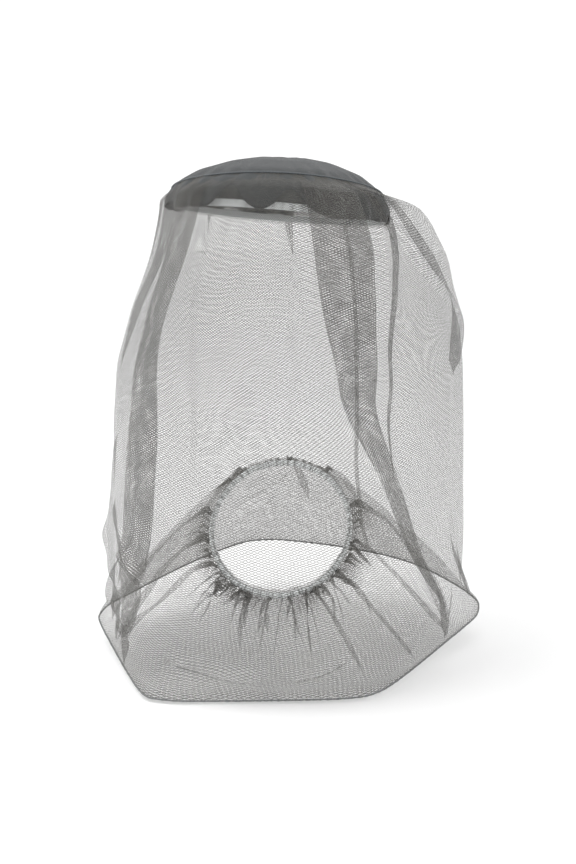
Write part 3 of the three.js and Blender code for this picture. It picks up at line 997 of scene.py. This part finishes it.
def hem_elastic():
    frames = loop_frames(elastic_radius, elastic_height, HEM_BAND["steps"])
    size = HEM_BAND["half"] * ribbed(HEM_BAND)
    piece = swept("hem_elastic", frames, size, HEM_BAND["tall"], squareness=5.0)
    band = thread_material("elastic_band", grey(0.6), grey(0.75), stitches=900)
    finish_piece(piece, band, "veil", "crown_elastic")


def crown_seam_roll():
    frames = loop_frames(dome_radius - CROWN_ROLL["inset"], seam_height, CROWN_ROLL["steps"])
    stitch = ribbed(CROWN_ROLL)
    across, tall = CROWN_ROLL["half"] * stitch, CROWN_ROLL["tall"] * stitch
    piece = swept("crown_seam_roll", frames, across, tall, sides=10)
    thread = thread_material("seam_thread", cool_grey(0.09), cool_grey(0.13), stitches=500)
    finish_piece(piece, thread, "veil", "crown_seam")


def edge_seam_roll():
    frames = loop_frames(edge_radius, edge_height, EDGE_ROLL["steps"])
    ruche = 1 + EDGE_ROLL["proud"] * ripple(columns_from(EDGE_ROLL["steps"]), 90, 190, seed=81)
    size = EDGE_ROLL["half"] * ruche
    piece = swept("edge_seam_roll", frames, size, size, sides=10)
    thread = thread_material("edge_thread", grey(0.12), grey(0.2), stitches=450)
    finish_piece(piece, thread, "veil", "edge_seam")


def back_seam_strip(net_points):
    """The seam that closes the net into a tube, lying on the net's first column."""
    centres = net_points[BACK_SEAM["short"]:-BACK_SEAM["short"], 0]
    side = np.broadcast_to((1.0, 0.0, 0.0), centres.shape)
    out = np.broadcast_to((0.0, 1.0, 0.0), centres.shape)
    puckered = 1 + BACK_SEAM["proud"] * np.abs(np.sin(np.arange(len(centres)) * BACK_SEAM["wave"]))
    across, tall = BACK_SEAM["wide"] * puckered, BACK_SEAM["half"] * puckered
    piece = swept("back_seam_strip", (centres, side, out), across, tall, squareness=3.0, closed=False)
    with_attribute(piece, np.full(len(piece.data.vertices), 0.1))
    doubled = net_material("back_seam", warm_grey(0.12), warm_grey(0.18))
    finish_piece(piece, doubled, "veil", "back_seam")


net_points = outer_net()
skirt = under_skirt()
casing = neck_casing()
neck_cord()
ruffle = neck_ruffle()
crown_shell()
hem_tape()
hem_elastic()
crown_seam_roll()
edge_seam_roll()
back_seam_strip(net_points)

# ---- camera, light and floor ----


def camera():
    azimuth = math.radians(CAMERA["azimuth"])
    aside, distance = CAMERA["aside"], CAMERA["distance"]
    data = bpy.data.cameras.new("camera")
    data.lens = LENS
    view = bpy.data.objects.new("camera", data)
    view.location = (
        distance * math.sin(azimuth) + aside * math.cos(azimuth),
        -distance * math.cos(azimuth) + aside * math.sin(azimuth),
        CAMERA["height"],
    )
    view.rotation_euler = (math.radians(90 - CAMERA["pitch"]), 0, azimuth)
    bpy.context.scene.collection.objects.link(view)
    bpy.context.scene.camera = view


def light(name, azimuth, elevation, distance, size, energy):
    """A square soft light that looks at the veil's middle."""
    data = bpy.data.lights.new(name, "AREA")
    data.size = size
    data.energy = energy
    lamp = bpy.data.objects.new(name, data)
    turn, rise = math.radians(azimuth), math.radians(elevation)
    away = Vector((math.sin(turn) * math.cos(rise), -math.cos(turn) * math.cos(rise), math.sin(rise)))
    middle = Vector((0, 0, (cad_box[0][2] + cad_box[1][2]) / 2))
    lamp.location = middle + away * distance
    lamp.rotation_euler = (-away).to_track_quat("-Z", "Y").to_euler()
    bpy.context.scene.collection.objects.link(lamp)


def surroundings():
    world = bpy.data.worlds.new("studio")
    world.use_nodes = True
    world.node_tree.nodes["Background"].inputs[0].default_value = (1, 1, 1, 1)
    world.node_tree.nodes["Background"].inputs[1].default_value = WORLD_STRENGTH
    bpy.context.scene.world = world
    bpy.context.scene.view_settings.view_transform = "Standard"
    bpy.context.scene.cycles.transparent_max_bounces = LAYERS_SEEN_THROUGH
    nodes = Nodes("floor")
    pale = nodes.ramp(nodes.noise(scale=3), (0.9,) * 3, (0.93,) * 3)
    nodes.set(nodes.shader.inputs["Base Color"], pale)
    nodes.finish(roughness=0.9, specular=0.1)
    bpy.ops.mesh.primitive_plane_add(size=FLOOR_SIZE, location=(0, 0, cad_box[0][2] - FLOOR_GAP))
    floor = bpy.context.object
    floor.name = "floor"
    floor.data.materials.append(nodes.material)


camera()
for name, settings in LIGHTS.items():
    light(name, **settings)
surroundings()
